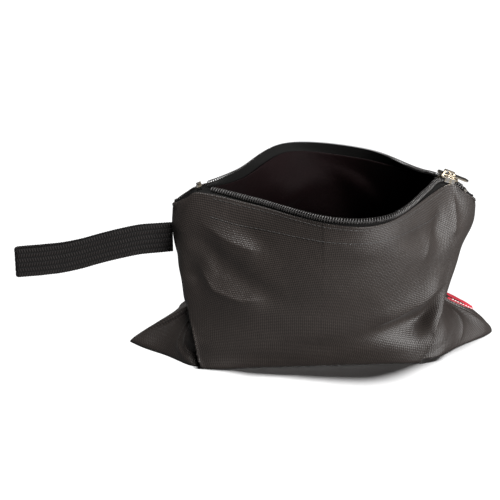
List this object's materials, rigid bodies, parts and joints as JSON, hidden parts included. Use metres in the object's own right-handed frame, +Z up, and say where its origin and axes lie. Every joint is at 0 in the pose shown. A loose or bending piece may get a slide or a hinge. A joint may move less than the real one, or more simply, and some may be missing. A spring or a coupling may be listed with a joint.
{
  "type": "makeup bag",
  "caption": "Soft charcoal zipped makeup pouch with a flat boxed bottom, standing open, with a wrist strap on one side and a small red tag on the other.",
  "frame": {"origin": "middle of the flat bottom, on the floor", "axes": "+X along the bag from the wrist strap to the red tag, +Y from the front to the back, +Z up out of the mouth"},
  "size_m": [0.2845, 0.1133, 0.1058],
  "materials": {
    "shell_cloth": "satin",
    "lining_cloth": "satin",
    "zip_tape": "matte",
    "zip_coil": "satin",
    "thread": "satin",
    "zip_metal": "polished",
    "webbing": "matte",
    "tag_cloth": "matte",
    "tag_thread": "matte"
  },
  "bodies": {
    "bag": {"front_panel": "shell_cloth", "back_panel": "shell_cloth", "front_lining": "lining_cloth", "back_lining": "lining_cloth", "zipper_tape_front": "zip_tape", "zipper_tape_back": "zip_tape", "zipper_coil_front": "zip_coil", "zipper_coil_back": "zip_coil", "topstitch_front": "thread", "topstitch_back": "thread", "top_stop_front": "zip_metal", "top_stop_back": "zip_metal", "bottom_stop": "zip_metal", "side_tag": "tag_cloth", "tag_stitches": "tag_thread"},
    "slider": {"slider_body": "zip_metal", "slider_crown": "zip_metal", "slider_lock_spring": "zip_metal"},
    "pull": {"pull_tab": "zip_metal"},
    "strap": {"wrist_strap": "webbing"}
  },
  "joints": [
    {"name": "slider_travel", "type": "slide", "parent": "bag", "child": "slider", "axis": [-1, 0, 0], "range_m": [0, 0.133], "deforming": ["front_panel", "back_panel", "front_lining", "back_lining", "zipper_tape_front", "zipper_tape_back", "zipper_coil_front", "zipper_coil_back", "topstitch_front", "topstitch_back", "side_tag", "tag_stitches"]},
    {"name": "pull_tab_swing", "type": "hinge", "parent": "slider", "child": "pull", "pos_m": [0.07934, 0, 0.10283], "axis": [0, -1, 0], "range_deg": [0, 170]},
    {"name": "strap_swing", "type": "hinge", "parent": "bag", "child": "strap", "pos_m": [-0.0812, 0, 0.065], "axis": [0, 0, 1], "range_deg": [-60, 60]}
  ]
}
